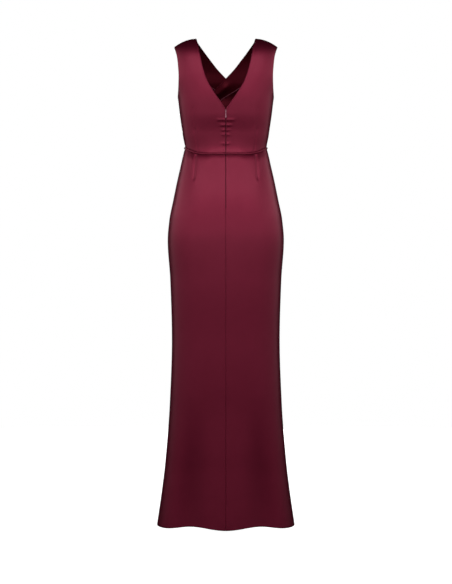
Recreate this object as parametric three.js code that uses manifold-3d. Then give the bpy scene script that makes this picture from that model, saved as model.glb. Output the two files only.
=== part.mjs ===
// A sleeveless satin wrap maxi dress, standing filled out as if worn.
// Millimetres, +Z up. The front faces -Y and the wearer's left is +X.
// The origin lies midway between the shoulder straps, at the height of the neck ends of the seams.
import * as THREE from 'three';
import Module from 'manifold-3d';

// Cloth thicknesses and the spaces between pieces.
const WALL = 1.5;
const FACING_WALL = 1;
const SEAM_GAP = 0.3;
const LAYER_GAP = 0.6;
const ZIP_OPENING = 1.2;

// Heights of the main lines.
const UNDERARM_Z = -182;
const BACK_NECK_Z = -226;
const SIDE_WAIST_Z = -337;
const BACK_WAIST_Z = -362;
const FRONT_WAIST_Z = -345;
const HEM_Z = -1500;

// The shoulder seam leaves the neck level and falls more and more steeply towards the arm.
const NECK_HALF = 91;
const SHOULDER_HALF = 160.5;
const SHOULDER_Z = -25;
const BACK_ROLL = 90;
const FRONT_ROLL = 110;
const ROLL_SQUARENESS = 2.6;

// The body of the dress in level sections: half width, and depth behind and before the side seams.
const SECTIONS = [
  { z: 0, half: 174, back: 86, front: 84 },
  { z: -60, half: 168, back: 89, front: 90 },
  { z: -120, half: 163, back: 95.5, front: 102 },
  { z: -182, half: 149, back: 99.5, front: 122 },
  { z: -236, half: 142.3, back: 96, front: 123 },
  { z: -298, half: 133.5, back: 86.5, front: 104 },
  { z: -337, half: 129, back: 83.5, front: 96 },
  { z: -375, half: 136, back: 91, front: 98 },
  { z: -437, half: 150, back: 104, front: 104 },
  { z: -500, half: 163, back: 115, front: 110 },
  { z: -561, half: 175, back: 121, front: 114 },
  { z: -623, half: 180, back: 124, front: 115 },
  { z: -747, half: 172, back: 122, front: 111 },
  { z: -933, half: 167, back: 117.5, front: 106 },
  { z: -1119, half: 173, back: 117, front: 109 },
  { z: -1305, half: 187, back: 122, front: 117 },
  { z: -1398, half: 198, back: 127, front: 122 },
  { z: -1501, half: 213, back: 134, front: 129 },
];
const SQUARENESS = 2.3;

// The cut edges: the back neck and the armholes, seen from behind.
const BACK_NECK = [
  { z: 0, x: 91 },
  { z: -26, x: 85 },
  { z: -85, x: 73.5 },
  { z: -134, x: 58.5 },
  { z: -171, x: 38 },
  { z: -202, x: 16.5 },
  { z: -226, x: 0.6 },
];
const ARMHOLE = [
  { z: -25, x: 160.5 },
  { z: -34, x: 157 },
  { z: -58, x: 151 },
  { z: -88, x: 147.3 },
  { z: -119, x: 145.4 },
  { z: -150, x: 146.3 },
  { z: -182, x: 149 },
];

// The wrap edge of one front, from its own side (positive) across to the other (negative).
const WRAP_EDGE = [
  { z: 0, x: 91 },
  { z: -17, x: 77.5 },
  { z: -54, x: 48 },
  { z: -81, x: 26 },
  { z: -108, x: 0 },
  { z: -147, x: -37.5 },
  { z: -200, x: -70 },
  { z: -270, x: -88 },
  { z: -342, x: -96 },
];
const FRONT_BREAK_Z = -190;
// A facing widens up the neck and takes at most the inner part of a strap, which is this many
// facings wide.
const FACING_WIDTH = 45;
const FACING_TOP_WIDTH = 108;
const FACING_WIDENS_Z = -185;
const FACING_WIDE_Z = -119;
const STRAP_SHARE = 1.5;
// The upper front lies this far outside the lower one, with its facing between them.
const OVERLAP = 3.7;
const OVERLAP_FULL = 0.77;
const OVERLAP_NONE = 0.98;
const OVERLAP_TOP_Z = -40;
const OVERLAP_LOW_Z = -100;
const OVERLAP_FADE = 90;

// Darts, at a share of the half width, are creases pressed into the outer face, fading to their points.
// Half of a crease's width is given as a share of the panel.
const DART_SHARE = 0.7;
const DART_DEPTH = 1;
const BODICE_DART_HALF = 0.024;
const SKIRT_DART_HALF = 0.02;
const BODICE_DART_TOP_Z = -216;
const SKIRT_DART_END_Z = -436;

// The piping in the waist seam.
const PIPING_HIGH = 4.6;
const PIPING_THICK = 3;
const PIPING_SIDES = 8;

// The skirt hangs in one soft flute a quarter below the knee, and its hem line waves gently.
const FLUTE_SHARE = 0.56;
const FLUTE_SPREAD = 0.2;
const FLUTE_TOP_Z = -1100;
const FLUTE_DEEP = 16;
const HEM_WAVE = 4.6;
const HEM_WAVE_SHARE = 0.9;

// The invisible zip.
const ZIP_END_Z = -530;
const TAPE_WIDE = 24;
const TAPE_THICK = 0.9;
const COIL_WIDE = 4;
const COIL_THICK = 1.6;
const COIL_TAPER = 0.7;
const SLIDER_TOP_Z = -228.5;
const SLIDER_LONG = 9.5;
const SLIDER_WIDE = 7;
const SLIDER_THICK = 2.6;
const NECK_THICK = 0.6;
const NECK_HIGH = 2.4;
const LUG_WIDE = 1.2;
const LUG_RADIUS = 1.4;
const HINGE_Z = -231;
const PULL_OUT = 1.9;
const PULL_THICK = 1.4;
const PULL_LONG = 22;
const PULL_TOP_HALF = 1.6;
const PULL_NECK_HALF = 0.9;
const PULL_NECK_DEEP = 6;
const PULL_END_RADIUS = 2.3;
const SLOT_DEEP = 1.9;
const PULL_RISE = 1.2;

const satin = (color) => new THREE.MeshStandardMaterial({ color, roughness: 0.42, metalness: 0 });
const pinkMetal = () => new THREE.MeshStandardMaterial({ color: 0xa0697a, roughness: 0.3, metalness: 1 });
const clamp = (value, low, high) => Math.min(Math.max(value, low), high);
const mix = (a, b, t) => a + (b - a) * t;

function smoothStep(value, from, to) {
  const t = clamp((value - from) / (to - from), 0, 1);
  return t * t * (3 - 2 * t);
}

// A smooth curve through a table's rows that never overshoots between them.
function column(rows, name) {
  const sorted = [...rows].sort((a, b) => a.z - b.z);
  const slopes = sorted.slice(1).map((row, i) => (row[name] - sorted[i][name]) / (row.z - sorted[i].z));
  const tangents = sorted.map((row, i) => {
    const before = slopes[Math.max(i - 1, 0)];
    const after = slopes[Math.min(i, slopes.length - 1)];
    if (before * after <= 0) return 0;
    return (2 * before * after) / (before + after);
  });
  return (z) => {
    const at = clamp(z, sorted[0].z, sorted[sorted.length - 1].z);
    let i = 0;
    while (i < sorted.length - 2 && sorted[i + 1].z < at) i += 1;
    const step = sorted[i + 1].z - sorted[i].z;
    const t = (at - sorted[i].z) / step;
    const rise = sorted[i + 1][name] - sorted[i][name];
    const ease = t * t * (3 - 2 * t);
    const start = t * (1 - t) * (1 - t) * tangents[i] * step;
    const end = t * t * (t - 1) * tangents[i + 1] * step;
    return sorted[i][name] + rise * ease + start + end;
  };
}

const halfWidth = column(SECTIONS, 'half');
const backDepth = column(SECTIONS, 'back');
const frontDepth = column(SECTIONS, 'front');
const backNeckX = column(BACK_NECK, 'x');
const armholeX = column(ARMHOLE, 'x');
const wrapEdgeX = column(WRAP_EDGE, 'x');

// How far one back keeps from the centre line: half the zip's opening, then half a seam.
const centreGap = (z) => mix(SEAM_GAP, ZIP_OPENING, smoothStep(z, ZIP_END_Z - 12, ZIP_END_Z)) / 2;

function shoulderHeight(x) {
  const t = clamp((Math.abs(x) - NECK_HALF) / (SHOULDER_HALF - NECK_HALF), 0, 1);
  return SHOULDER_Z * t * t;
}

// The share of the full depth that is left where the cloth rolls over the shoulder.
function roll(below, radius) {
  const t = clamp(below / radius, 0, 1);
  return Math.pow(1 - Math.pow(1 - t, ROLL_SQUARENESS), 1 / ROLL_SQUARENESS);
}

// A section is a squarish oval, followed by the angle from its centre line to its side.
function oval(turn) {
  const s = Math.abs(Math.sin(turn));
  const c = Math.abs(Math.cos(turn));
  const reach = 1 / Math.pow(Math.pow(s, SQUARENESS) + Math.pow(c, SQUARENESS), 1 / SQUARENESS);
  return { across: reach * Math.sin(turn), deep: reach * c };
}

function turnOf(share) {
  const s = clamp(Math.abs(share), 0, 1);
  const c = Math.pow(1 - Math.pow(s, SQUARENESS), 1 / SQUARENESS);
  return Math.sign(share) * Math.atan2(s, c);
}

const backWaist = (share) => mix(BACK_WAIST_Z, SIDE_WAIST_Z, Math.pow(share, 4));
const frontWaist = (share) => mix(FRONT_WAIST_Z, SIDE_WAIST_Z, Math.pow(share, 4));
const overlapShare = (share) => 1 - smoothStep(share, OVERLAP_FULL, OVERLAP_NONE);

// Normals of a grid of points, from its neighbours, and by a curve through three points at its rims.
function slope(points, i) {
  const last = points.length - 1;
  if (i > 0 && i < last) return points[i + 1].clone().sub(points[i - 1]);
  const order = i === 0 ? [0, 1, 2] : [last, last - 1, last - 2];
  const [a, b, c] = order.map((place) => points[place]);
  const rim = a.clone().multiplyScalar(-3).addScaledVector(b, 4).sub(c);
  return i === 0 ? rim : rim.negate();
}

function normalsOf(grid) {
  const normals = grid.map((row, r) => row.map((_, c) => {
    const along = slope(row, c);
    const up = slope(grid.map((line) => line[c]), r);
    return along.cross(up).normalize();
  }));
  const r = Math.floor(grid.length / 2);
  const c = Math.floor(grid[0].length / 2);
  const outward = new THREE.Vector3(grid[r][c].x, grid[r][c].y, 0);
  if (normals[r][c].dot(outward) < 0) normals.forEach((row) => row.forEach((n) => n.negate()));
  return normals;
}

function volumeOf(points, index) {
  let volume = 0;
  for (let i = 0; i < index.length; i += 3) {
    const [a, b, c] = [points[index[i]], points[index[i + 1]], points[index[i + 2]]];
    volume += a.dot(b.clone().cross(c)) / 6;
  }
  return volume;
}

function solidMesh(name, material, points, index) {
  if (volumeOf(points, index) < 0) index.reverse();
  const geometry = new THREE.BufferGeometry().setFromPoints(points);
  geometry.setIndex(index);
  geometry.computeVertexNormals();
  const mesh = new THREE.Mesh(geometry, material);
  mesh.name = name;
  return mesh;
}

// A closed wall of cloth between two grids of points.
function wallBetween(name, material, outer, inner) {
  const rows = outer.length;
  const columns = outer[0].length;
  const points = [...outer.flat(), ...inner.flat()];
  const index = [];
  const quad = (a, b, c, d) => index.push(a, b, c, a, c, d);
  const out = (r, c) => r * columns + c;
  const back = (r, c) => rows * columns + r * columns + c;
  for (let r = 0; r < rows - 1; r += 1) {
    for (let c = 0; c < columns - 1; c += 1) {
      quad(out(r, c), out(r, c + 1), out(r + 1, c + 1), out(r + 1, c));
      quad(back(r, c), back(r + 1, c), back(r + 1, c + 1), back(r, c + 1));
    }
    quad(out(r, 0), out(r + 1, 0), back(r + 1, 0), back(r, 0));
    quad(out(r + 1, columns - 1), out(r, columns - 1), back(r, columns - 1), back(r + 1, columns - 1));
  }
  for (let c = 0; c < columns - 1; c += 1) {
    quad(out(0, c + 1), out(0, c), back(0, c), back(0, c + 1));
    quad(out(rows - 1, c), out(rows - 1, c + 1), back(rows - 1, c + 1), back(rows - 1, c));
  }
  return solidMesh(name, material, points, index);
}

function moved(grid, normals, distance) {
  return grid.map((row, r) => row.map((p, c) => p.clone().addScaledVector(normals[r][c], distance(r, c))));
}

// A panel is a grid of points on its outer face, thickened inwards, with creases in the outer face only.
function panel(name, color, grid, crease = () => 0) {
  const normals = normalsOf(grid);
  const outer = moved(grid, normals, (r, c) => -crease(r, c));
  const inner = moved(grid, normals, () => -WALL);
  return wallBetween(name, satin(color), outer, inner);
}

const steps = (count) => Array.from({ length: count + 1 }, (_, i) => i / count);

// Column positions from 0 to 1 with one column on a line and one at each side of it.
const TOO_NEAR = 1.6;
function stepsWithLine(count, line, half) {
  const near = (t) => Math.abs(t - line) < TOO_NEAR * half;
  return [...steps(count).filter((t) => !near(t)), line - half, line, line + half].sort((a, b) => a - b);
}

// Rows of a bodice panel: from the waist to the break of the neck, up to the roll, and over the shoulder.
function bodiceRows(waistIn, waistOut, breakIn, rollRadius, counts) {
  const rows = steps(counts.low).map((t) => ({
    inner: mix(waistIn, breakIn, t), outer: mix(waistOut, UNDERARM_Z, t), rolled: 0 }));
  steps(counts.middle).slice(1).forEach((t) => rows.push({
    inner: mix(breakIn, -rollRadius, t), outer: mix(UNDERARM_Z, SHOULDER_Z - rollRadius, t), rolled: t }));
  steps(counts.top).slice(1).forEach((t) => {
    const below = rollRadius * (1 - Math.pow(Math.sin((t * Math.PI) / 2), 2 / ROLL_SQUARENESS));
    rows.push({ inner: -below, outer: SHOULDER_Z - below, rolled: 1 });
  });
  return rows;
}

// The height inside a row, which follows the shoulder seam's shape near the top.
function rowHeight(row, innerX, outerX, x, t) {
  const straight = mix(shoulderHeight(innerX), shoulderHeight(outerX), t);
  return mix(row.inner, row.outer, t) + row.rolled * (shoulderHeight(x) - straight);
}

// Panels end this far above and below the middle of the piping.
const PIPING_CLEAR = PIPING_HIGH / 2 + SEAM_GAP;

function bodiceBack(name, side, color) {
  const rows = bodiceRows(BACK_WAIST_Z, SIDE_WAIST_Z, BACK_NECK_Z, BACK_ROLL, { low: 9, middle: 6, top: 8 });
  const dartTurn = turnOf(DART_SHARE) / (Math.PI / 2);
  const columns = stepsWithLine(14, dartTurn, BODICE_DART_HALF);
  const grid = rows.map((row) => columns.map((t) => {
    const above = row.inner > BACK_NECK_Z;
    const innerX = above ? backNeckX(row.inner) : centreGap(row.inner);
    const outerX = row.outer > UNDERARM_Z ? armholeX(row.outer) : halfWidth(row.outer);
    const width = halfWidth(mix(row.inner, row.outer, t));
    const turnIn = turnOf((innerX - centreGap(row.inner)) / halfWidth(row.inner));
    const turnOut = turnOf(outerX / halfWidth(row.outer));
    const section = oval(mix(turnIn, turnOut, t));
    const gap = centreGap(row.inner);
    const x = gap + (width - gap) * section.across;
    const onWaist = backWaist(section.across) + PIPING_CLEAR;
    const riseShare = (row.inner - BACK_WAIST_Z) / (BACK_NECK_Z - BACK_WAIST_Z);
    const low = mix(onWaist, mix(BACK_NECK_Z, UNDERARM_Z, t), riseShare);
    const z = above ? rowHeight(row, innerX, outerX, x, t) : low;
    const deep = backDepth(z) * section.deep * roll(shoulderHeight(x) - z, BACK_ROLL);
    return new THREE.Vector3(side * x, SEAM_GAP / 2 + deep, z);
  }));
  const dartColumn = columns.indexOf(dartTurn);
  const fade = (z) => smoothStep(z, BODICE_DART_TOP_Z, BACK_WAIST_Z);
  return panel(name, color, grid, (r, c) => (c === dartColumn ? DART_DEPTH * fade(grid[r][c].z) : 0));
}

// One front of the wrap: its surface, from the side and armhole across to the wrap edge.
function frontSurface(side, columns) {
  const counts = { low: 8, middle: 4, top: 9 };
  const rows = bodiceRows(FRONT_WAIST_Z, SIDE_WAIST_Z, FRONT_BREAK_Z, FRONT_ROLL, counts);
  return rows.map((row) => columns(row).map((t) => {
    const innerX = wrapEdgeX(row.inner);
    const outerX = row.outer > UNDERARM_Z ? armholeX(row.outer) : halfWidth(row.outer);
    const turnIn = turnOf(innerX / halfWidth(row.inner));
    const turnOut = turnOf(outerX / halfWidth(row.outer));
    const section = oval(mix(turnIn, turnOut, t));
    const x = halfWidth(mix(row.inner, row.outer, t)) * section.across;
    const share = Math.abs(section.across);
    const rise = clamp((row.inner - FRONT_WAIST_Z) / (FRONT_BREAK_Z - FRONT_WAIST_Z), 0, 1);
    const low = mix(frontWaist(share) + PIPING_CLEAR, mix(FRONT_BREAK_Z, UNDERARM_Z, t), rise);
    const z = rise < 1 ? low : rowHeight(row, innerX, outerX, x, t);
    const deep = frontDepth(z) * section.deep * roll(shoulderHeight(x) - z, FRONT_ROLL);
    return new THREE.Vector3(side * x, -SEAM_GAP / 2 - deep, z);
  }));
}

// The upper front is moved out, clear of the lower one, wherever the two overlap.
function frontGrid(side, over, columns) {
  const grid = frontSurface(side, columns);
  const lift = (p) => {
    const share = (side * p.x) / halfWidth(p.z);
    return over * (share > 0 ? overlapShare(share) : 1) * smoothStep(p.z, OVERLAP_TOP_Z, OVERLAP_LOW_Z);
  };
  return moved(grid, normalsOf(grid), (r, c) => lift(grid[r][c]));
}

// The facing lies inside the front along its wrap edge and is made from the front's own surface.
function frontFacing(name, side, over, color) {
  const share = (row) => {
    const width = mix(FACING_WIDTH, FACING_TOP_WIDTH, smoothStep(row.inner, FACING_WIDENS_Z, FACING_WIDE_Z));
    const turnSpan = turnOf(1) - turnOf(wrapEdgeX(row.inner) / halfWidth(row.inner));
    return width / Math.max(turnSpan * halfWidth(row.inner), width * STRAP_SHARE);
  };
  const grid = frontGrid(side, over, (row) => steps(8).map((t) => t * share(row)));
  const normals = normalsOf(grid);
  const outside = WALL + LAYER_GAP;
  const outer = moved(grid, normals, () => -outside);
  const inner = moved(grid, normals, () => -outside - FACING_WALL);
  return wallBetween(name, satin(color), outer, inner);
}

// The depth taken out of a section by the flutes of the lower skirt, at a share of the half width.
function flute(share, z) {
  const spread = (share - FLUTE_SHARE) / FLUTE_SPREAD;
  return Math.exp(-spread * spread) * smoothStep(z, FLUTE_TOP_Z, HEM_Z);
}

function skirtPoint(turn, t, face) {
  const section = oval(turn);
  const share = Math.abs(section.across);
  const top = face.waist(share) - PIPING_CLEAR;
  const hem = HEM_Z - HEM_WAVE * Math.cos((2 * Math.PI * share) / HEM_WAVE_SHARE);
  const z = mix(top, hem, t);
  const gap = face.sign > 0 ? centreGap(z) : 0;
  const x = Math.sign(section.across) * gap + (halfWidth(z) - gap) * section.across;
  const nearWaist = smoothStep(z, FRONT_WAIST_Z - OVERLAP_FADE, FRONT_WAIST_Z);
  const lift = face.overlap * overlapShare(share) * nearWaist;
  const deep = face.depth(z) * section.deep - FLUTE_DEEP * flute(share, z) + lift;
  return new THREE.Vector3(x, face.sign * (SEAM_GAP / 2 + deep), z);
}

const BACK_FACE = { sign: 1, waist: backWaist, depth: backDepth, overlap: 0 };
const FRONT_FACE = { sign: -1, waist: frontWaist, depth: frontDepth, overlap: OVERLAP };

function skirtBack(name, side, color) {
  const dartTurn = turnOf(DART_SHARE) / (Math.PI / 2);
  const columns = stepsWithLine(15, dartTurn, SKIRT_DART_HALF);
  const first = 1e-4;
  const grid = steps(22).map((t) => columns.map((c) => {
    const point = skirtPoint(Math.max(c, first) * (Math.PI / 2), t, BACK_FACE);
    return new THREE.Vector3(side * point.x, point.y, point.z);
  }));
  const dartColumn = columns.indexOf(dartTurn);
  const fade = (z) => smoothStep(z, SKIRT_DART_END_Z, BACK_WAIST_Z);
  return panel(name, color, grid, (r, c) => (c === dartColumn ? DART_DEPTH * fade(grid[r][c].z) : 0));
}

function skirtFront(name, color) {
  const turns = steps(30).map((c) => mix(-1, 1, c) * (Math.PI / 2));
  const grid = steps(20).map((t) => turns.map((turn) => skirtPoint(turn, t, FRONT_FACE)));
  return panel(name, color, grid);
}

// Piping is a flattened tube along the waist, with a plain cap at each end.
function piping(name, turns, face, color) {
  const rings = turns.map((turn) => {
    const section = oval(turn);
    const share = Math.abs(section.across);
    const z = face.waist(share);
    const gap = face.sign > 0 ? centreGap(z) : 0;
    const x = Math.sign(section.across) * gap + (halfWidth(z) - gap) * section.across;
    return new THREE.Vector3(x, face.sign * (SEAM_GAP / 2 + face.depth(z) * section.deep), z);
  });
  const up = new THREE.Vector3(0, 0, 1);
  const points = rings.flatMap((centre, i) => {
    const along = slope(rings, i).setZ(0).normalize();
    const out = along.cross(up);
    if (out.x * centre.x + out.y * centre.y < 0) out.negate();
    const lift = face.overlap * overlapShare(Math.abs(oval(turns[i]).across));
    return Array.from({ length: PIPING_SIDES }, (_, k) => {
      const angle = ((k + 0.5) / PIPING_SIDES) * 2 * Math.PI;
      return centre.clone()
        .addScaledVector(out, lift + (PIPING_THICK / 2) * Math.cos(angle))
        .addScaledVector(up, (PIPING_HIGH / 2) * Math.sin(angle));
    });
  });
  const index = [];
  const at = (i, k) => i * PIPING_SIDES + (k % PIPING_SIDES);
  for (let i = 0; i < rings.length - 1; i += 1) {
    for (let k = 0; k < PIPING_SIDES; k += 1) {
      index.push(at(i, k), at(i, k + 1), at(i + 1, k + 1), at(i, k), at(i + 1, k + 1), at(i + 1, k));
    }
  }
  const last = rings.length - 1;
  for (let k = 1; k < PIPING_SIDES - 1; k += 1) {
    index.push(at(0, 0), at(0, k + 1), at(0, k), at(last, 0), at(last, k), at(last, k + 1));
  }
  return solidMesh(name, satin(color), points, index);
}

// The centre back's outer face at a height.
const centreBackY = (z) => SEAM_GAP / 2 + backDepth(z) * roll(-z, BACK_ROLL);

// The tape lies inside the backs, flat across the centre, with the closed coil on its inner face.
function zipTape() {
  const half = TAPE_WIDE / 2;
  const coil = COIL_WIDE / 2;
  const deep = -TAPE_THICK - COIL_THICK;
  const outline = [
    [-half, 0], [half, 0], [half, -TAPE_THICK], [coil, -TAPE_THICK], [coil * COIL_TAPER, deep],
    [-coil * COIL_TAPER, deep], [-coil, -TAPE_THICK], [-half, -TAPE_THICK],
  ];
  const top = SLIDER_TOP_Z - SLIDER_LONG - SEAM_GAP;
  const bend = (x, z) => backDepth(z) * (1 - oval(turnOf(Math.abs(x) / halfWidth(z))).deep);
  const rings = steps(24).map((t) => {
    const z = mix(top, ZIP_END_Z, t);
    const face = centreBackY(z) - WALL - 2 * LAYER_GAP;
    return outline.map(([x, y]) => new THREE.Vector3(x, face - bend(x, z) + y, z));
  });
  const count = outline.length;
  const points = rings.flat();
  const index = [];
  for (let i = 0; i < rings.length - 1; i += 1) {
    for (let k = 0; k < count; k += 1) {
      const next = (k + 1) % count;
      const [a, b, c, d] = [i * count + k, i * count + next, (i + 1) * count + next, (i + 1) * count + k];
      index.push(a, b, c, a, c, d);
    }
  }
  const cap = THREE.ShapeUtils.triangulateShape(outline.map(([x, y]) => new THREE.Vector2(x, y)), []);
  const end = (rings.length - 1) * count;
  const forward = volumeOf(points, index) > 0;
  cap.forEach(([a, b, c]) => {
    const first = forward ? [a, b, c] : [a, c, b];
    index.push(...first, ...[...first].reverse().map((k) => end + k));
  });
  return solidMesh('zip_tape', satin(0x3c0a18), points, index);
}

const wasm = await Module();
wasm.setup();

function toManifold(geometry) {
  const plain = geometry.clone();
  plain.deleteAttribute('normal');
  plain.deleteAttribute('uv');
  const keys = new Map();
  const position = plain.attributes.position;
  const vertices = [];
  const merged = Array.from({ length: position.count }, (_, i) => {
    const p = [position.getX(i), position.getY(i), position.getZ(i)];
    const key = p.map((value) => value.toFixed(4)).join(' ');
    if (!keys.has(key)) {
      keys.set(key, vertices.length / 3);
      vertices.push(...p);
    }
    return keys.get(key);
  });
  const order = plain.index ? Array.from(plain.index.array) : merged.map((_, i) => i);
  const triangles = [];
  for (let i = 0; i < order.length; i += 3) {
    const [a, b, c] = [merged[order[i]], merged[order[i + 1]], merged[order[i + 2]]];
    if (a !== b && b !== c && a !== c) triangles.push(a, b, c);
  }
  return new wasm.Manifold(new wasm.Mesh({
    numProp: 3, vertProperties: new Float32Array(vertices), triVerts: new Uint32Array(triangles) }));
}

function fromManifold(solid) {
  const mesh = solid.getMesh();
  const geometry = new THREE.BufferGeometry();
  geometry.setAttribute('position', new THREE.BufferAttribute(Float32Array.from(mesh.vertProperties), 3));
  geometry.setIndex(Array.from(mesh.triVerts));
  geometry.computeVertexNormals();
  return geometry;
}

const HINGE_Y = centreBackY(HINGE_Z) + PULL_OUT;

// The slider's body lies inside the dress, its neck passes the opening, and a round lug carries the pull.
function zipSlider() {
  const inside = centreBackY(SLIDER_TOP_Z - SLIDER_LONG) - WALL - LAYER_GAP - SLIDER_THICK / 2;
  const body = new THREE.BoxGeometry(SLIDER_WIDE, SLIDER_THICK, SLIDER_LONG);
  body.translate(0, inside, SLIDER_TOP_Z - SLIDER_LONG / 2);
  const reach = HINGE_Y - inside;
  const neck = new THREE.BoxGeometry(NECK_THICK, reach, NECK_HIGH);
  neck.translate(0, inside + reach / 2, HINGE_Z);
  const lug = new THREE.CylinderGeometry(LUG_RADIUS, LUG_RADIUS, LUG_WIDE, 20);
  lug.rotateZ(Math.PI / 2);
  lug.translate(0, HINGE_Y, HINGE_Z);
  const solid = [neck, lug].reduce((sum, piece) => sum.add(toManifold(piece)), toManifold(body));
  const mesh = new THREE.Mesh(fromManifold(solid), pinkMetal());
  mesh.name = 'zip_slider';
  return mesh;
}

// The pull is a flat drop with a narrow neck, and hangs from the lug by two prongs.
function zipPull() {
  const slot = LUG_WIDE / 2 + SEAM_GAP;
  const bottom = -PULL_LONG + PULL_END_RADIUS;
  const side = Math.atan2(PULL_END_RADIUS - PULL_NECK_HALF, -PULL_NECK_DEEP - bottom);
  const shape = new THREE.Shape();
  shape.moveTo(slot, PULL_RISE);
  shape.lineTo(slot, -SLOT_DEEP);
  shape.lineTo(-slot, -SLOT_DEEP);
  shape.lineTo(-slot, PULL_RISE);
  shape.lineTo(-PULL_TOP_HALF, PULL_RISE);
  shape.lineTo(-PULL_TOP_HALF, -SLOT_DEEP);
  shape.lineTo(-PULL_NECK_HALF, -PULL_NECK_DEEP);
  shape.absarc(0, bottom, PULL_END_RADIUS, Math.PI - side, 2 * Math.PI + side, false);
  shape.lineTo(PULL_NECK_HALF, -PULL_NECK_DEEP);
  shape.lineTo(PULL_TOP_HALF, -SLOT_DEEP);
  shape.lineTo(PULL_TOP_HALF, PULL_RISE);
  shape.closePath();
  const extrusion = { depth: PULL_THICK, bevelEnabled: false, curveSegments: 14 };
  const geometry = new THREE.ExtrudeGeometry(shape, extrusion);
  geometry.translate(0, 0, -PULL_THICK / 2);
  geometry.rotateX(Math.PI / 2);
  const mesh = new THREE.Mesh(geometry, pinkMetal());
  mesh.name = 'zip_pull';
  mesh.position.set(0, HINGE_Y, HINGE_Z);
  return mesh;
}

const quarter = steps(18).map((t) => t * (Math.PI / 2));
const leftTurns = quarter.map((turn) => Math.max(turn, 1e-4));
const rightTurns = leftTurns.map((turn) => -turn);
const frontTurns = steps(32).map((t) => mix(-1, 1, t) * (Math.PI / 2));
const frontColumns = () => steps(20);

const dress = new THREE.Group();
dress.name = 'wrap_maxi_dress';
dress.add(bodiceBack('bodice_back_left', 1, 0x7a2a3c));
dress.add(bodiceBack('bodice_back_right', -1, 0x7a2a3c));
dress.add(panel('bodice_front_left', 0x74283a, frontGrid(1, OVERLAP, frontColumns)));
dress.add(panel('bodice_front_right', 0x74283a, frontGrid(-1, 0, frontColumns)));
dress.add(frontFacing('facing_front_left', 1, OVERLAP, 0x5c1c2c));
dress.add(frontFacing('facing_front_right', -1, 0, 0x5c1c2c));
dress.add(piping('piping_back_left', leftTurns, BACK_FACE, 0x702538));
dress.add(piping('piping_back_right', rightTurns, BACK_FACE, 0x702538));
dress.add(piping('piping_front', frontTurns, FRONT_FACE, 0x702538));
dress.add(skirtBack('skirt_back_left', 1, 0x702538));
dress.add(skirtBack('skirt_back_right', -1, 0x702538));
dress.add(skirtFront('skirt_front', 0x6a2236));
dress.add(zipTape());
dress.add(zipSlider());
dress.add(zipPull());

export default dress;
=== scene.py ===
# %% [markdown]
# # A satin wrap maxi dress
#
# The solids of the dress come in as a fixed frame: a bodice of four panels with a wrap front, a
# piped waist, a long skirt of three panels, and a zip in the centre back. This script dresses
# them. Each panel becomes a thin smooth shell on the same surface, with its darts, the puckers
# beside the zip and its softly rolled edges, in a burgundy satin.
#
# The sizes of the dress are in millimetres and are turned to metres when a mesh is made. The floor
# and the lights are in metres. The front faces -Y, +X is the wearer's left, and the origin lies
# between the shoulder straps.

import math

import bmesh
import bpy
import numpy as np
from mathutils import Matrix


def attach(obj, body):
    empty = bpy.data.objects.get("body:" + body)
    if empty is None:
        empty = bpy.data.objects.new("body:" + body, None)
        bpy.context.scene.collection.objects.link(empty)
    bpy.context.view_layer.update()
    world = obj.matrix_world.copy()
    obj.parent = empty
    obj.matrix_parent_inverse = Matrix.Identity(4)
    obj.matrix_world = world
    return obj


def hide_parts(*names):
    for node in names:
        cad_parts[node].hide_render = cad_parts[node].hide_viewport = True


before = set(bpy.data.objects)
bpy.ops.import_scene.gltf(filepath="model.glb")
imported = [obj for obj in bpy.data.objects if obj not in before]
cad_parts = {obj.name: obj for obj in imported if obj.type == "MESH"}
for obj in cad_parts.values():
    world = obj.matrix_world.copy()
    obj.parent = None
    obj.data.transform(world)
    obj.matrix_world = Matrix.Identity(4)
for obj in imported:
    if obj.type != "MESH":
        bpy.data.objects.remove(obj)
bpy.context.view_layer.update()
MM = 0.001

# %% [markdown]
# ## The camera
#
# The photograph looks straight at the back of the dress from a few metres off. One pixel is
# 3.1 mm at the side seams, so the lens follows from the distance: the picture is 584 pixels high.
# The hem and the waist curve a little with the perspective, which sets the distance.

# %% Camera
PHOTO_WIDE, PHOTO_HIGH = 452, 584
MM_PER_PIXEL = 3.1
SHOULDER_ROW = 39.4
CENTRE_COLUMN = 225.8
CAMERA_AWAY = 5000.0
SENSOR = 36.0

camera_data = bpy.data.cameras.new("camera")
camera_data.sensor_width = SENSOR
camera_data.lens = SENSOR * CAMERA_AWAY / (PHOTO_HIGH * MM_PER_PIXEL)
camera = bpy.data.objects.new("camera", camera_data)
bpy.context.collection.objects.link(camera)
camera.location = (
    -(PHOTO_WIDE / 2 - CENTRE_COLUMN) * MM_PER_PIXEL * MM,
    CAMERA_AWAY * MM,
    -(PHOTO_HIGH / 2 - SHOULDER_ROW) * MM_PER_PIXEL * MM,
)
camera.rotation_euler = (math.radians(90), 0, math.radians(180))
bpy.context.scene.camera = camera
print("lens", round(camera_data.lens, 1), "mm")

# %% [markdown]
# ## The shape of the dress
#
# A dress that is filled out follows level sections that change smoothly from the shoulders to the
# hem. Each section is a squarish oval with its own half width and its own depth behind and before
# the side seams. The same few rows as in the solids are enough, because a smooth curve runs
# through them.

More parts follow.
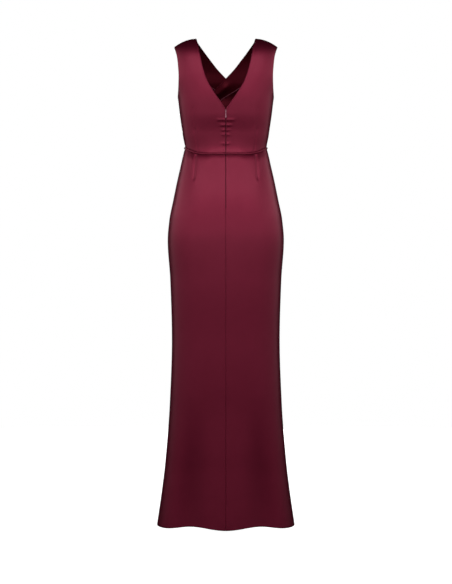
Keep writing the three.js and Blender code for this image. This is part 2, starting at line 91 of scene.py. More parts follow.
# %% Sections and edges
SECTIONS = {
    "z": [
        0, -60, -120, -182, -236, -298, -337, -375, -437,
        -500, -561, -623, -747, -933, -1119, -1305, -1398, -1501,
    ],
    "half": [174, 168, 163, 149, 142.3, 133.5, 129, 136, 150, 163, 175, 180, 172, 167, 173, 187, 198, 213],
    "back": [86, 89, 95.5, 99.5, 96, 86.5, 83.5, 91, 104, 115, 121, 124, 122, 117.5, 117, 122, 127, 134],
    "front": [84, 90, 102, 122, 123, 104, 96, 98, 104, 110, 114, 115, 111, 106, 109, 117, 122, 129],
}
BACK_NECK = {
    "z": [0, -26, -85, -134, -171, -202, -226],
    "x": [91, 85, 73.5, 58.5, 38, 16.5, 0.6],
}
ARMHOLE = {
    "z": [-25, -34, -58, -88, -119, -150, -182],
    "x": [160.5, 157, 151, 147.3, 145.4, 146.3, 149],
}
# From the front's own side (positive) across to the other side (negative).
WRAP_EDGE = {
    "z": [0, -17, -54, -81, -108, -147, -200, -270, -342],
    "x": [91, 77.5, 48, 26, 0, -37.5, -70, -88, -96],
}
SQUARENESS = 2.3
UNDERARM_Z, BACK_NECK_Z, FRONT_BREAK_Z = -182, -226, -190
SIDE_WAIST_Z, BACK_WAIST_Z, FRONT_WAIST_Z = -337, -362, -345
HEM_Z = -1500
NECK_HALF, SHOULDER_HALF, SHOULDER_Z = 91, 160.5, -25
BACK_ROLL, FRONT_ROLL, ROLL_SQUARENESS = 90, 110, 2.6
SEAM_GAP, ZIP_OPENING, ZIP_END_Z, ZIP_EASE = 0.3, 1.2, -530, 12
WAIST_CURVE = 4
OVERLAP, OVERLAP_FULL, OVERLAP_NONE = 3.7, 0.77, 0.98
PIPING_HIGH, PIPING_THICK = 4.6, 3.0
CLOTH = 1.0


def smooth(value, low, high):
    """A share that goes from 0 at low to 1 at high and is flat at both ends."""
    t = np.clip((value - low) / (high - low), 0, 1)
    return t * t * (3 - 2 * t)


def mix(a, b, t):
    return a + (b - a) * t


def column(table, name):
    """A smooth curve through one column of a table, which never overshoots between the rows."""
    order = np.argsort(table["z"])
    z, value = (np.array(table[key], float)[order] for key in ("z", name))
    steps = np.diff(value) / np.diff(z)
    before, after = np.r_[steps[0], steps], np.r_[steps, steps[-1]]
    same = before * after > 0
    tangent = np.where(same, 2 * before * after / np.where(same, before + after, 1), 0)

    def at(where):
        where = np.clip(where, z[0], z[-1])
        i = np.clip(np.searchsorted(z, where) - 1, 0, len(z) - 2)
        step = z[i + 1] - z[i]
        t = (where - z[i]) / step
        ease = t * t * (3 - 2 * t)
        bend = t * (1 - t) ** 2 * tangent[i] + t * t * (t - 1) * tangent[i + 1]
        return value[i] + (value[i + 1] - value[i]) * ease + bend * step

    return at


half_width, back_depth, front_depth = (column(SECTIONS, name) for name in ("half", "back", "front"))
back_neck_x, armhole_x, wrap_edge_x = (column(table, "x") for table in (BACK_NECK, ARMHOLE, WRAP_EDGE))
waist_wide, hem_wide = (2 * float(half_width(z)) for z in (SIDE_WAIST_Z, HEM_Z))
print("waist", round(waist_wide), "mm wide, hem", round(hem_wide), "mm wide")


# %% Ovals, shoulders and waist lines
def oval(turn):
    """How far across and how deep a section lies at an angle from its centre line, as shares."""
    s, c = np.abs(np.sin(turn)), np.abs(np.cos(turn))
    reach = (s**SQUARENESS + c**SQUARENESS) ** (-1 / SQUARENESS)
    return reach * np.sin(turn), reach * c


def turn_of(share):
    s = np.clip(np.abs(share), 0, 1)
    return np.sign(share) * np.arctan2(s, (1 - s**SQUARENESS) ** (1 / SQUARENESS))


def shoulder_height(x):
    t = np.clip((np.abs(x) - NECK_HALF) / (SHOULDER_HALF - NECK_HALF), 0, 1)
    return SHOULDER_Z * t * t


def roll(below, radius):
    """The share of the full depth that is left where the cloth rolls over the shoulder."""
    t = np.clip(below / radius, 0, 1)
    return (1 - (1 - t) ** ROLL_SQUARENESS) ** (1 / ROLL_SQUARENESS)


def centre_gap(z):
    """Half the gap between the two backs, wider beside the zip than below it."""
    return mix(SEAM_GAP, ZIP_OPENING, smooth(z, ZIP_END_Z - ZIP_EASE, ZIP_END_Z)) / 2


def back_waist(share):
    return mix(BACK_WAIST_Z, SIDE_WAIST_Z, np.abs(share) ** WAIST_CURVE)


def front_waist(share):
    return mix(FRONT_WAIST_Z, SIDE_WAIST_Z, np.abs(share) ** WAIST_CURVE)


def overlap_share(share):
    return 1 - smooth(share, OVERLAP_FULL, OVERLAP_NONE)


# %% [markdown]
# ## From a surface to a shell of cloth
#
# A panel starts as a flat grid, which is what a cut piece of cloth is. Every point of the grid is
# then laid on the surface of the dress, as cloth is laid on a stand, and moved a little along the
# surface's normal for its creases and its rolled edges. A Solidify modifier gives it its thickness
# on the inside, and the inner face shows the reverse of the satin: duller, and painted darker still
# as painted shade for the dim inside of the dress.

# %% Grid helpers
# The edges of a panel roll in their last millimetres, so the grid has fine steps there.
FINE_STEPS = [0.3, 0.7, 1.2, 1.9, 2.8]
FINE_CLEAR = 1.3


def spread(count, length, fine_start=True, fine_end=True):
    """Positions from 0 to 1, even but for a few fine steps beside the ends.

    The length is roughly that of the cloth in mm, and turns the fine steps into shares.
    """
    places = set(np.linspace(0, 1, count + 1))
    near = max(FINE_STEPS) * FINE_CLEAR / length
    if fine_start:
        places = {t for t in places if t == 0 or t > near} | {step / length for step in FINE_STEPS}
    if fine_end:
        places = {t for t in places if t == 1 or t < 1 - near} | {1 - step / length for step in FINE_STEPS}
    return np.array(sorted(places))


def lengths(points, axis, backwards=False):
    """The distance along the cloth from one of its edges."""
    step = np.linalg.norm(np.diff(points, axis=axis), axis=2)
    start = np.zeros_like(np.take(points[..., 0], [0], axis=axis))
    total = np.concatenate([start, np.cumsum(step, axis=axis)], axis=axis)
    return np.take(total, [-1], axis=axis) - total if backwards else total


def normals_of(points):
    """Unit normals of a grid of points, pointing away from the middle of the dress."""
    normal = np.cross(np.gradient(points, axis=1), np.gradient(points, axis=0))
    normal /= np.linalg.norm(normal, axis=2, keepdims=True)
    r, c = points.shape[0] // 2, points.shape[1] // 2
    if normal[r, c, 0] * points[r, c, 0] + normal[r, c, 1] * points[r, c, 1] < 0:
        normal = -normal
    return normal


def edge_roll(distance, radius):
    """How far a turned edge drops in its last few millimetres, as a quarter round."""
    if radius == 0:
        return 0 * distance
    t = np.clip(1 - distance / radius, 0, 1)
    return -radius * (1 - np.sqrt(1 - t * t))


def rolled(points, left=0, right=0, bottom=0, top=0):
    """The relief of a panel's four rolled edges, each with its own radius."""
    drops = [
        edge_roll(lengths(points, 1), left),
        edge_roll(lengths(points, 1, True), right),
        edge_roll(lengths(points, 0), bottom),
        edge_roll(lengths(points, 0, True), top),
    ]
    return np.minimum.reduce(drops)


# %% Make a shell
def grid_mesh(points, trim=None):
    """A grid laid on the points, whose UV map is the cloth's own lengths in metres.

    Faces whose points are all marked in trim get the next material.
    """
    rows, columns = points.shape[:2]
    across, along = lengths(points, 1) * MM, lengths(points, 0) * MM
    bm = bmesh.new()
    bmesh.ops.create_grid(bm, x_segments=columns - 1, y_segments=rows - 1, size=1)
    uv = bm.loops.layers.uv.new("cloth")
    where = {}
    for vert in bm.verts:
        c = round((vert.co.x + 1) / 2 * (columns - 1))
        r = round((vert.co.y + 1) / 2 * (rows - 1))
        where[vert.index] = (r, c)
    for vert in bm.verts:
        vert.co = points[where[vert.index]] * MM
    for face in bm.faces:
        face.smooth = True
        if trim is not None and all(trim[where[vert.index]] for vert in face.verts):
            face.material_index = 1
        for loop in face.loops:
            at = where[loop.vert.index]
            loop[uv].uv = (across[at], along[at])
    return bm


def finish_mesh(name, bm, materials):
    mesh = bpy.data.meshes.new(name)
    bm.to_mesh(mesh)
    bm.free()
    piece = bpy.data.objects.new(name, mesh)
    bpy.context.collection.objects.link(piece)
    for material in materials:
        mesh.materials.append(material)
    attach(piece, "dress")
    return piece


def cloth_shell(name, points, relief, thick, materials, node=None, trim=None):
    """A panel: its surface points moved by its relief, with its thickness on the inside."""
    normal = normals_of(points)
    bm = grid_mesh(points + normal * relief[..., None], trim)
    bm.faces.ensure_lookup_table()
    face = bm.faces[len(bm.faces) // 2]
    centre = face.calc_center_median()
    face.normal_update()
    if face.normal.x * centre.x + face.normal.y * centre.y < 0:
        bmesh.ops.reverse_faces(bm, faces=bm.faces[:])
    piece = finish_mesh(name, bm, materials)
    wall = piece.modifiers.new("thickness", "SOLIDIFY")
    wall.thickness = thick * MM
    wall.offset = -1
    wall.material_offset = 1
    if node:
        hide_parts(node)
    area = float(sum(polygon.area for polygon in piece.data.polygons))
    print(name, "area", round(area, 4), "m2,", len(piece.data.polygons), "faces")
    return piece


# %% Seam allowances
SEAM_CLOTH = 0.2
SEAM_WIDE = 10
PAST_STEPS = 4


def seam(name, edge, drape, under=0.1, past=1.2):
    """The allowances of a seam, stitched together and pressed to one side, as one strip.

    The first axis of the edge's points runs across the seam and ends at it. The drape is the
    panel's relief at the same points. The strip lies under the panel and reaches past the seam.
    """
    near = lengths(edge, 0, True).mean(axis=1) < SEAM_WIDE
    edge, drape = edge[near], drape[near]
    step = edge[-1] - edge[-2]
    step /= np.linalg.norm(step, axis=1, keepdims=True)
    strip = np.concatenate([edge, edge[-1] + step * np.linspace(0, past, PAST_STEPS + 1)[1:, None, None]])
    relief = np.concatenate([drape, np.repeat(drape[-1:], PAST_STEPS, axis=0)]) - CLOTH - under
    piece = cloth_shell(name, strip, relief, SEAM_CLOTH, SATIN)


# %% [markdown]
# ## Creases
#
# Sewn cloth is never quite smooth. A dart is a fine line with a small pucker, the stiff tape of a
# zip draws the satin beside it into short level ripples, and a tight waist seam draws the cloth in
# on both sides. A simulation would find such creases by itself, but not in the places where they
# show. So each one is a ridge or a trough along a short line, with its own length, width and
# height, listed one by one. The tables give x and z on the wearer's own side.


# %% Ridges
RIDGE_END = 1.6


def ridge(x, z, crease):
    """The height in mm of one soft ridge or trough, along a line from one point to another.

    Past its ends it fades over RIDGE_END of its widths.
    """
    x0, z0, x1, z1, width, height = crease
    dx, dz = x1 - x0, z1 - z0
    long = math.hypot(dx, dz)
    along = ((x - x0) * dx + (z - z0) * dz) / long
    off = ((x - x0) * dz - (z - z0) * dx) / long
    past = np.maximum(np.maximum(-along, along - long), 0)
    return height * np.exp(-((off / width) ** 2) - (past / (RIDGE_END * width)) ** 2)


def creases(x, z, table):
    return sum((ridge(x, z, row) for row in table), np.zeros_like(x))


# Columns: x and z where it starts, x and z where it ends, width, height.
ZIP_RIPPLES = [
    (-15, -259, 20, -259, 3.8, 0.9),
    (-12, -275, 12, -275, 3.8, 0.9),
    (-9, -290, 9, -290, 3.6, 0.8),
    (-7, -304, 7, -304, 3.4, 0.8),
    (-6, -331, 8, -331, 3.6, 0.9),
]
BODICE_DART = [
    (86.5, -362, 95, -285, 2.6, -1.0),
    (96, -276, 102, -222, 2.4, -0.5),
    (91, -350, 96, -300, 7.0, 0.35),
    (80, -350, 88, -290, 8.0, 0.3),
]
SKIRT_DART = [
    (94, -366, 97, -436, 2.8, -2.3),
    (104, -376, 102, -388, 4.0, 0.9),
    (105, -398, 102, -408, 4.0, 0.7),
    (97, -440, 97, -452, 4.0, 0.5),
]
print("creases of a back:", len(ZIP_RIPPLES + BODICE_DART), "bodice,", len(SKIRT_DART), "skirt")

# %% Cloth drawn in at the waist
# How the cloth is drawn in beside the waist seam, in the middle and at the corner: its depth, its
# height and the power of its curve, which is 2 where it ends flat and 1 where it ends steep.
DRAWN = {"bodice": ((1.0, 18, 2), (5.0, 16, 1)), "skirt": ((0.9, 6, 2), (3.2, 12, 1))}
CORNER_FROM_X, CORNER_FULL_X = 34, 76
CORNER_EASES_X, CORNER_EASED_X, CORNER_EASE = 112, 128, 0.7


def corner(x):
    """The share of the way from the middle of the waist to its corners before the side seams."""
    eased = CORNER_EASE * smooth(np.abs(x), CORNER_EASES_X, CORNER_EASED_X)
    return smooth(np.abs(x), CORNER_FROM_X, CORNER_FULL_X) * (1 - eased)


def drawn_in(points, part):
    """The relief of a panel beside the waist seam, where the first row of its points lies."""
    depth, high, power = (mix(a, b, corner(points[..., 0])) for a, b in zip(*DRAWN[part]))
    return -depth * np.exp(-((lengths(points, 0) / high) ** power))


# %% [markdown]
# ## Colours and nodes
#
# A colour is picked as it looks on a screen, as a sRGB hex value, but Blender works with linear
# values. One function turns the one into the other. A second one adds a node with its settings and
# links, so that a material reads from top to bottom.

# %% Colour and node helpers
def colour(code):
    values = [int(code[i : i + 2], 16) / 255 for i in (0, 2, 4)]
    linear = [v / 12.92 if v <= 0.04045 else ((v + 0.055) / 1.055) ** 2.4 for v in values]
    return (*linear, 1.0)


def add(material, kind, inputs=None, **settings):
    """A node of a kind with its settings, its input values and its links."""
    tree = material.node_tree
    node = tree.nodes.new(kind)
    for key, value in settings.items():
        setattr(node, key, value)
    for key, value in (inputs or {}).items():
        if isinstance(value, bpy.types.NodeSocket):
            tree.links.new(value, node.inputs[key])
        else:
            node.inputs[key].default_value = value
    return node


def new_material(name):
    material = bpy.data.materials.new(name)
    material.use_nodes = True
    material.node_tree.nodes.clear()
    return material


# %% [markdown]
# ## Satin
#
# Duchess satin is woven so that long threads float over the face, pressed smooth. The floats catch
# light in one broad soft sheen that is tinted like the yarn, not white, and the rest goes deep and
# dark. A sheen layer would give a pale, dusty edge instead. So the face is mostly a metal in the
# shader, which tints its highlights, and rough, with a fine run of threads as bump and a very
# slight unevenness in its colour. The reverse has short floats and is duller, with no gloss, and
# its colours are painted darker still, as painted shade for the dim inside of the dress.

# %% Satin materials
# Real floats lie closer, at about a tenth of a millimetre. They are drawn coarser, so that they
# still show, and the pattern is drawn out along the floats.
THREAD_MM = 0.35
ALONG_FLOATS = 0.12
THREAD_HIGH_MM = 0.06
CLOUD_MM = 45


def satin(name, face, deep, rough, metallic, bump, gloss):
    material = new_material(name)
    uv = add(material, "ShaderNodeUVMap", uv_map="cloth").outputs["UV"]
    threads = add(
        material,
        "ShaderNodeMapping",
        {"Vector": uv, "Scale": (1 / (THREAD_MM * MM), ALONG_FLOATS / (THREAD_MM * MM), 1)},
    ).outputs["Vector"]
    float_noise = add(
        material, "ShaderNodeTexNoise", {"Vector": threads, "Scale": 1.0, "Detail": 2.0}
    ).outputs["Fac"]
    cloud = add(
        material,
        "ShaderNodeTexNoise",
        {"Vector": uv, "Scale": 1 / (CLOUD_MM * MM), "Detail": 3.0, "Roughness": 0.6},
    ).outputs["Fac"]
    tone = add(
        material,
        "ShaderNodeMix",
        {"Factor": cloud, "A": colour(deep), "B": colour(face)},
        data_type="RGBA",
    )
    raised = add(
        material,
        "ShaderNodeBump",
        {"Height": float_noise, "Strength": bump, "Distance": THREAD_HIGH_MM * MM},
    ).outputs["Normal"]
    shader = add(
        material,
        "ShaderNodeBsdfPrincipled",
        {
            "Base Color": tone.outputs["Result"],
            "Roughness": rough,
            "Metallic": metallic,
            "Specular IOR Level": 0.45,
            "Coat Weight": gloss,
            "Coat Roughness": 0.3,
            "Normal": raised,
        },
    )
    add(material, "ShaderNodeOutputMaterial", {"Surface": shader.outputs["BSDF"]})
    return material


satin_face = satin("duchess_satin_face", "8b1c3c", "841837", 0.42, 0.8, 0.3, 0.2)
# The reverse's colours are a duller cloth and also painted shade: they keep the inside of the dress, seen
# through the V of the back, as dark as shade would make it.
satin_reverse_painted_shade = satin("duchess_satin_reverse_painted_shade", "6e0a22", "62081d", 0.42, 0.75, 0.2, 0.0)
SATIN = [satin_face, satin_reverse_painted_shade]

# %% Overlock thread
# Spun polyester thread, wound over the raw edge of a facing: matt, and a little lighter than the
# satin. The lighter tone is a painted highlight, the light that the turned edge catches, so the
# edge shows as a fine light line.
overlock_thread_painted_highlight = new_material("overlock_thread_painted_highlight")
shader = add(overlock_thread_painted_highlight, "ShaderNodeBsdfPrincipled", {"Base Color": colour("a85a6c"), "Roughness": 0.8})
add(overlock_thread_painted_highlight, "ShaderNodeOutputMaterial", {"Surface": shader.outputs["BSDF"]})
TRIMMED = [satin_face, satin_reverse_painted_shade, overlock_thread_painted_highlight]
print("materials", [material.name for material in TRIMMED])

# %% [markdown]
# ## The bodice back
#
# Each back is cut from the waist to the shoulder, with one long dart. Its inner edge is the zip
# below and the open V of the neck above, and its outer edge is the side seam and then the armhole.
# The rows of the grid run from the waist up to the break of the neck, on to where the shoulder
# begins to roll, and over the shoulder to its seam. A flat shape wrapped round the form would
# stretch at the strap, and rows that follow both edges don't.

# %% Rows of a bodice panel
LOWER_LONG, UPPER_LONG = 150, 140
BACK_STEPS, FRONT_STEPS = (74, 40, 46), (74, 34, 50)


def bodice_rows(waist, broken, radius, low, middle, top):
    """Heights at the inner and outer edge of each row, and how far it follows the shoulder."""
    t = spread(low, LOWER_LONG, fine_end=False)
    rows = [(mix(waist, broken, t), mix(SIDE_WAIST_Z, UNDERARM_Z, t), 0 * t)]
    t = np.linspace(0, 1, middle + 1)[1:]
    rows.append((mix(broken, -radius, t), mix(UNDERARM_Z, SHOULDER_Z - radius, t), t))
    t = spread(top, UPPER_LONG, fine_start=False)[1:]
    below = radius * (1 - np.sin(t * math.pi / 2) ** (2 / ROLL_SQUARENESS))
    rows.append((-below, SHOULDER_Z - below, 0 * t + 1))
    return [np.concatenate(parts)[:, None] for parts in zip(*rows)]


PIPING_CLEAR = PIPING_HIGH / 2 + SEAM_GAP


def row_height(inner, outer, rolled_share, inner_x, outer_x, x, t):
    """Heights along a row, which bends like the shoulder as far as it follows it."""
    straight = mix(shoulder_height(inner_x), shoulder_height(outer_x), t)
    return mix(inner, outer, t) + rolled_share * (shoulder_height(x) - straight)


def bodice_back_points():
    inner, outer, follows = bodice_rows(BACK_WAIST_Z, BACK_NECK_Z, BACK_ROLL, *BACK_STEPS)
    t = spread(84, 190)[None, :]
    above = inner > BACK_NECK_Z
    gap = centre_gap(inner)
    inner_x = np.where(above, back_neck_x(inner), gap)
    outer_x = np.where(outer > UNDERARM_Z, armhole_x(outer), half_width(outer))
    turn_in = turn_of((inner_x - gap) / half_width(inner))
    turn_out = turn_of(outer_x / half_width(outer))
    across, deep = oval(mix(turn_in, turn_out, t))
    x = gap + (half_width(mix(inner, outer, t)) - gap) * across
    rise = (inner - BACK_WAIST_Z) / (BACK_NECK_Z - BACK_WAIST_Z)
    low = mix(back_waist(across) + PIPING_CLEAR, mix(BACK_NECK_Z, UNDERARM_Z, t), rise)
    z = np.where(above, row_height(inner, outer, follows, inner_x, outer_x, x, t), low)
    y = SEAM_GAP / 2 + back_depth(z) * deep * roll(shoulder_height(x) - z, BACK_ROLL)
    return np.stack([x, y, z], axis=2)


# %% Turned edges
def mirrored(points, side):
    return points * np.array([side, 1, 1])


def lip(from_edge, high, away, wide):
    """A turned edge is a little thicker than the cloth beside it."""
    return high * np.exp(-(((from_edge - away) / wide) ** 2))


def neck_lip(points):
    """The lip of the back neck, which ends above the zip."""
    above_zip = smooth(points[..., 2], BACK_NECK_Z - 4, BACK_NECK_Z + 6)
    return lip(lengths(points, 1), 0.6, 2.4, 1.7) * above_zip


# %% Build the two backs
for side, word in ((1, "left"), (-1, "right")):
    points = bodice_back_points()
    x, z = points[..., 0], points[..., 2]
    drape = creases(x, z, ZIP_RIPPLES + BODICE_DART) + neck_lip(points)
    drape = drape * smooth(lengths(points, 1), 0, 3) + drawn_in(points, "bodice")
    relief = drape + rolled(points, left=1.6, right=1.1, bottom=2.4, top=0.5)
    piece = cloth_shell(
        f"satin_bodice_back_{word}", mirrored(points, side), relief, CLOTH, SATIN, f"bodice_back_{word}"
    )
    across = mirrored(points, side).transpose(1, 0, 2)
    below = points[:, -1, 2] < UNDERARM_Z
    seam(f"satin_seam_side_bodice_{word}", across[:, below], drape.T[:, below])
    seam(f"satin_seam_shoulder_{word}", mirrored(points, side), drape)


# %% [markdown]
# ## The wrap front
#
# Two fronts cross below the neck. Each one runs from its own side seam over to the far side, and
# the left one lies on top. A facing is sewn along each wrap edge and turned to the inside: its free
# edge, whose overlock thread carries a painted highlight, is the fine light line that shows across
# the inside of the front, seen through the V of the back. Both come from one function, so a facing
# lies on its front at every height.

# %% Front surface
FACING_WIDTH, FACING_TOP_WIDTH = 45, 108
FACING_WIDENS_Z, FACING_WIDE_Z = -185, -119
STRAP_SHARE = 1.5
OVERLAP_FROM_Z, OVERLAP_FULL_Z = -40, -100


def front_points(side, over, t, facing=False):
    """The points of a front, or of its facing, which takes at most the inner part of a strap."""
    inner, outer, follows = bodice_rows(FRONT_WAIST_Z, FRONT_BREAK_Z, FRONT_ROLL, *FRONT_STEPS)
    inner_x = wrap_edge_x(inner)
    outer_x = np.where(outer > UNDERARM_Z, armhole_x(outer), half_width(outer))
    turn_in = turn_of(inner_x / half_width(inner))
    turn_out = turn_of(outer_x / half_width(outer))
    if facing:
        width = mix(FACING_WIDTH, FACING_TOP_WIDTH, smooth(inner, FACING_WIDENS_Z, FACING_WIDE_Z))
        span = (turn_of(1.0) - turn_in) * half_width(inner)
        t = t * width / np.maximum(span, width * STRAP_SHARE)
    across, deep = oval(mix(turn_in, turn_out, t))
    x = half_width(mix(inner, outer, t)) * across
    rise = np.clip((inner - FRONT_WAIST_Z) / (FRONT_BREAK_Z - FRONT_WAIST_Z), 0, 1)
    low = mix(front_waist(across) + PIPING_CLEAR, mix(FRONT_BREAK_Z, UNDERARM_Z, t), rise)
    z = np.where(rise < 1, low, row_height(inner, outer, follows, inner_x, outer_x, x, t))
    y = -SEAM_GAP / 2 - front_depth(z) * deep * roll(shoulder_height(x) - z, FRONT_ROLL)
    points = np.stack([side * x, y, z], axis=2)
    share = x / half_width(z)
    lift = over * np.where(share > 0, overlap_share(share), 1) * smooth(z, OVERLAP_FROM_Z, OVERLAP_FULL_Z)
    return points + normals_of(points) * lift[..., None]


# %% Folds of the fronts
# Columns: x and z where it starts, x and z where it ends, width, height.
FRONT_FOLDS = [
    (-60, -196, 10, -160, 9.0, 0.8),
    (-70, -250, 40, -190, 14.0, 1.0),
    (-90, -300, 60, -235, 12.0, 0.9),
    (88, -345, 92, -240, 2.6, -0.8),
]
LOWER_FRONT_FOLDS = [
    (-46, -170, -4, -138, 9.5, -4.8),
]
FOLDS = {"left": FRONT_FOLDS, "right": FRONT_FOLDS + LOWER_FRONT_FOLDS}
print("folds", {word: len(folds) for word, folds in FOLDS.items()})

# %% Build the two fronts and their facings
FACING_CLOTH, FACING_CLEAR, FACING_TRIM = 0.7, 0.35, 2.4

for side, word, over in ((1, "left", OVERLAP), (-1, "right", 0)):
    points = front_points(side, over, spread(110, 280)[None, :])
    folds = creases(side * points[..., 0], points[..., 2], FOLDS[word])
    relief = folds + lip(lengths(points, 1), 0.9, 4, 2.6) + drawn_in(points, "bodice")
    relief = relief + rolled(points, left=2.4, right=1.1, bottom=2.4, top=0.5)
    piece = cloth_shell(f"satin_bodice_front_{word}", points, relief, CLOTH, SATIN, f"bodice_front_{word}")

    inside = front_points(side, over, spread(22, FACING_WIDTH)[None, :], facing=True)
    folds = creases(side * inside[..., 0], inside[..., 2], FOLDS[word]) + drawn_in(inside, "bodice")
    from_edge = lengths(inside, 1, True)
    relief = folds - CLOTH - FACING_CLEAR - lip(from_edge, 0.7, 1.2, 0.8)
    name = f"satin_facing_front_{word}"
    # The overlocked free edge takes the lighter thread, whose tone is a painted highlight along it.
    trim = from_edge < FACING_TRIM
    facing = cloth_shell(name, inside, relief, FACING_CLOTH, TRIMMED, f"facing_front_{word}", trim)

# %% [markdown]
# ## The skirt
#
# The skirt is close over the hips and thighs and falls in soft flutes from the knee. Each back has
# a short dart, and the front is one plain piece. The hem is turned up on the inside. Hanging cloth
# could be simulated from a flat pattern, but its outline is known here, so it is laid on that.

# %% Skirt surface
FLUTE_SHARE, FLUTE_SPREAD, FLUTE_TOP_Z, FLUTE_DEEP = 0.56, 0.2, -1100, 16
HEM_WAVE, HEM_WAVE_SHARE = 4.6, 0.9
OVERLAP_FADES = 90
FACES = {
    "back": {"sign": 1, "waist": back_waist, "depth": back_depth, "overlap": 0},
    "front": {"sign": -1, "waist": front_waist, "depth": front_depth, "overlap": OVERLAP},
}


def flute(share, z):
    """How far a soft fold has sunk in, from nothing above the knee to its full depth at the hem."""
    return np.exp(-(((share - FLUTE_SHARE) / FLUTE_SPREAD) ** 2)) * smooth(z, FLUTE_TOP_Z, HEM_Z)


def skirt_points(face, turns, t):
    across, deep = oval(turns)
    share = np.abs(across)
    top = face["waist"](share) - PIPING_CLEAR
    z = mix(top, HEM_Z - HEM_WAVE * np.cos(2 * math.pi * share / HEM_WAVE_SHARE), t)
    gap = centre_gap(z) if face["sign"] > 0 else 0 * z
    x = np.sign(across) * gap + (half_width(z) - gap) * across
    lift = face["overlap"] * overlap_share(share) * smooth(z, FRONT_WAIST_Z - OVERLAP_FADES, FRONT_WAIST_Z)
    y = face["sign"] * (SEAM_GAP / 2 + face["depth"](z) * deep - FLUTE_DEEP * flute(share, z) + lift)
    return np.stack([x, y, z], axis=2)


# %% Build the skirt panels
QUARTER = math.pi / 2
NEAR_CENTRE = 1e-5
HEM_TURN = 30
SKIRT_LONG = 1140


def hem_turn(name, points):
    """The strip of the panel that is turned up inside the hem."""
    strip = points[lengths(points, 0, True)[:, 0] < HEM_TURN]
    relief = np.zeros(strip.shape[:2]) - CLOTH - FACING_CLEAR
    hem = cloth_shell(name, strip, relief, FACING_CLOTH, SATIN)


rows = spread(220, SKIRT_LONG)[:, None]
for side, word in ((1, "left"), (-1, "right")):
    turns = np.maximum(spread(70, 260), NEAR_CENTRE)[None, :] * QUARTER
    points = skirt_points(FACES["back"], turns, rows)
    drape = creases(points[..., 0], points[..., 2], SKIRT_DART) + drawn_in(points, "skirt")
    relief = drape + rolled(points, left=1.1, right=1.1, bottom=1.3, top=1.2)
    laid = mirrored(points, side)
    piece = cloth_shell(f"satin_skirt_back_{word}", laid, relief, CLOTH, SATIN, f"skirt_back_{word}")
    hem_turn(f"satin_hem_back_{word}", laid)
    seam(f"satin_seam_side_skirt_{word}", laid.transpose(1, 0, 2), drape.T)
    seam(f"satin_seam_waist_back_{word}", laid[::-1], drape[::-1], under=0.9, past=12)
    if side > 0:
        low = laid[:, 0, 2] < ZIP_END_Z
        edge, drape = laid[low, ::-1].transpose(1, 0, 2), drape[low, ::-1].T
        seam("satin_seam_centre_back", edge, drape)

points = skirt_points(FACES["front"], mix(-1, 1, spread(130, 520))[None, :] * QUARTER, rows)
drape = drawn_in(points, "skirt")
relief = drape + rolled(points, left=1.1, right=1.1, bottom=1.3, top=1.2)
piece = cloth_shell("satin_skirt_front", points, relief, CLOTH, SATIN, "skirt_front")
hem_turn("satin_hem_front", points)
seam("satin_seam_waist_front", points[::-1], drape[::-1], under=0.9, past=12)


# %% [markdown]
# ## The piping
#
# A narrow piping lies in the waist seam: a strip of the satin folded over a cord. A curve with a
# round bevel would make it too, but not pressed flat and leaning. So it is a grid wound once round
# the line of the waist and closed along its join and at its ends.

# %% Build the piping
AROUND = 28
PIPING_SQUARENESS = 2.8
# The piping is pressed down a little, so its face leans back at the top, and it is drawn in with
# the cloth at the corners of the waist.
PIPING_LEAN = 0.6
PIPING_IN = 3.0


def piping(name, turns, face, node):
    across, deep = oval(turns)
    z = face["waist"](across)
    gap = centre_gap(z) if face["sign"] > 0 else 0 * z
    x = np.sign(across) * gap + (half_width(z) - gap) * across
    y = face["sign"] * (SEAM_GAP / 2 + face["depth"](z) * deep)
    line = np.stack([x, y, z], axis=1)
    along = np.gradient(line, axis=0)
    out = np.stack([along[:, 1], -along[:, 0], 0 * z], axis=1)
    out *= np.sign((out * line).sum(axis=1, keepdims=True))
    out /= np.linalg.norm(out, axis=1, keepdims=True)
    lift = (face["overlap"] * overlap_share(np.abs(across)) - PIPING_IN * corner(x))[:, None]
    angle = np.linspace(0, 2 * math.pi, AROUND + 1)[:, None, None]
    ring = (np.sin(angle), np.cos(angle))
    high, bulge = (np.sign(v) * np.abs(v) ** (2 / PIPING_SQUARENESS) for v in ring)
    outwards = lift + PIPING_THICK / 2 * bulge - PIPING_LEAN * high
    points = line + out * outwards + np.array([0, 0, PIPING_HIGH / 2]) * high
    bm = grid_mesh(points)
    bmesh.ops.remove_doubles(bm, verts=bm.verts[:], dist=1e-6)
    bmesh.ops.holes_fill(bm, edges=[edge for edge in bm.edges if edge.is_boundary], sides=0)
    bmesh.ops.recalc_face_normals(bm, faces=bm.faces[:])
    piece = finish_mesh(name, bm, [satin_face])
    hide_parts(node)
    long = np.linalg.norm(np.diff(line, axis=0), axis=1).sum()
    print(name, len(piece.data.polygons), "faces,", round(float(long)), "mm long")


half_turn = np.maximum(np.linspace(0, 1, 90), NEAR_CENTRE) * QUARTER
piping("satin_piping_back_left", half_turn, FACES["back"], "piping_back_left")
piping("satin_piping_back_right", -half_turn, FACES["back"], "piping_back_right")
piping("satin_piping_front", np.linspace(-1, 1, 180) * QUARTER, FACES["front"], "piping_front")

# %% [markdown]
# ## The zip
#
# The zip is an invisible one: its tape and its coil lie behind the seam, and only the small drop of
# its pull shows, hanging below the V. The three solids already have their real shape, and at this
# size finer edges wouldn't show, so they are kept and only get their finish.

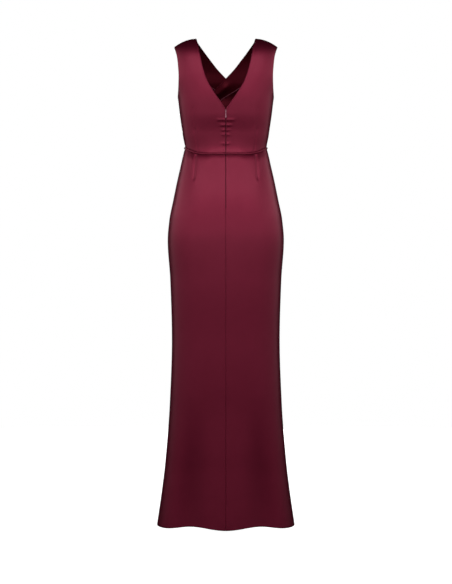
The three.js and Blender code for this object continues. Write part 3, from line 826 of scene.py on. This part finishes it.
# %% Zip materials
# Woven polyester tape is matt and darker than the satin. The slider and the pull are cast zinc with
# a smooth pink lacquer, which gives them a small soft highlight.
tape_cloth = new_material("polyester_tape")
shader = add(tape_cloth, "ShaderNodeBsdfPrincipled", {"Base Color": colour("3a0c1a"), "Roughness": 0.8})
add(tape_cloth, "ShaderNodeOutputMaterial", {"Surface": shader.outputs["BSDF"]})
pink_metal = new_material("lacquered_zinc")
shader = add(
    pink_metal,
    "ShaderNodeBsdfPrincipled",
    {"Base Color": colour("a8707f"), "Roughness": 0.32, "Metallic": 0.85},
)
add(pink_metal, "ShaderNodeOutputMaterial", {"Surface": shader.outputs["BSDF"]})
for node, material in (("zip_tape", tape_cloth), ("zip_slider", pink_metal), ("zip_pull", pink_metal)):
    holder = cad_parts[node]
    holder.data.materials.clear()
    holder.data.materials.append(material)
    print(node, "is", material.name)

# %% [markdown]
# ## Floor and light
#
# The photograph is cut out on white, lit softly from above and behind the camera. The floor and
# the world are plain white and stay out of the satin's reflections and its soft light, so they
# don't brighten the inside of the dress. The light comes from large soft panels. Satin mirrors
# them at the height that its own tilt picks out, so rings of panels one above another, each with
# its own power, make the bright and dark bands of the cloth.

# %% Floor
FLOOR_Z = -1.53
FLOOR_RADIUS = 4.0
floor_mesh = bmesh.new()
bmesh.ops.create_circle(floor_mesh, cap_ends=True, segments=96, radius=FLOOR_RADIUS)
bmesh.ops.translate(floor_mesh, verts=floor_mesh.verts[:], vec=(0, 0, FLOOR_Z))
mesh = bpy.data.meshes.new("floor")
floor_mesh.to_mesh(mesh)
floor_mesh.free()
floor = bpy.data.objects.new("floor", mesh)
bpy.context.collection.objects.link(floor)
white = new_material("white_paper")
shader = add(
    white,
    "ShaderNodeBsdfPrincipled",
    {
        "Base Color": colour("f3f3f3"),
        "Roughness": 0.9,
        "Emission Color": colour("ffffff"),
        "Emission Strength": 1.0,
    },
)
add(white, "ShaderNodeOutputMaterial", {"Surface": shader.outputs["BSDF"]})
mesh.materials.append(white)
floor.visible_diffuse = False
floor.visible_glossy = False

world = bpy.data.worlds.new("white_studio")
bpy.context.scene.world = world
world.use_nodes = True
background = world.node_tree.nodes["Background"]
background.inputs["Color"].default_value = colour("ffffff")
background.inputs["Strength"].default_value = 1.0
world.cycles_visibility.diffuse = False
world.cycles_visibility.glossy = False
world.cycles_visibility.transmission = False
world.cycles_visibility.scatter = False
print("floor at", FLOOR_Z, "m")


# %% Lights
def panel_light(name, place, target, size, power):
    """A soft rectangular light at a place, aimed at a target, in metres."""
    data = bpy.data.lights.new(name, "AREA")
    data.shape = "RECTANGLE"
    data.size, data.size_y = size
    data.energy = power
    light = bpy.data.objects.new(name, data)
    bpy.context.collection.objects.link(light)
    light.location = place
    away = np.array(place) - np.array(target)
    light.rotation_euler = (
        math.atan2(math.hypot(away[0], away[1]), away[2]),
        0,
        math.atan2(away[1], away[0]) + math.pi / 2,
    )


# Rings of panels stand round the back and the sides, one above another.
RING_AWAY = 3.4
RING_AIM = -0.6
PANEL_WIDE = 2.2
BEHIND_WITHIN = 50
AZIMUTHS = {
    "left_3": -108,
    "left_2": -72,
    "left_1": -36,
    "middle": 0,
    "right_1": 36,
    "right_2": 72,
    "right_3": 108,
}
# Columns: height, height of the panels, power of the three behind the dress and of the four beside it.
RINGS = {
    "top": (1.8, 0.7, 3.0, 0.5),
    "high": (1.1, 0.7, 13.0, 3.5),
    "upper": (0.4, 0.7, 1.0, 6.5),
    "level": (-0.3, 0.7, 5.3, 2.2),
    "lower": (-0.9, 0.7, 1.3, 2.1),
}
for ring, (height, tall, behind, beside) in RINGS.items():
    for word, azimuth in AZIMUTHS.items():
        turn = math.radians(azimuth)
        place = (RING_AWAY * math.sin(turn), RING_AWAY * math.cos(turn), height)
        power = behind if abs(azimuth) < BEHIND_WITHIN else beside
        panel_light(f"{ring}_{word}", place, (0, 0, RING_AIM), (PANEL_WIDE, tall), power)
# Two narrow panels stand before the dress and light its front. Wider ones would put bright rims
# down its sides, seen from behind.
panel_light("front_high", (0.4, -3.8, 0.5), (0, 0, -0.5), (0.8, 1.2), 26)
panel_light("front_low", (-0.3, -3.8, -1.0), (0, 0, -0.8), (0.8, 1.0), 10)

bpy.context.scene.view_settings.view_transform = "Standard"
bpy.context.scene.view_settings.look = "None"
print("lights", len(bpy.data.lights))
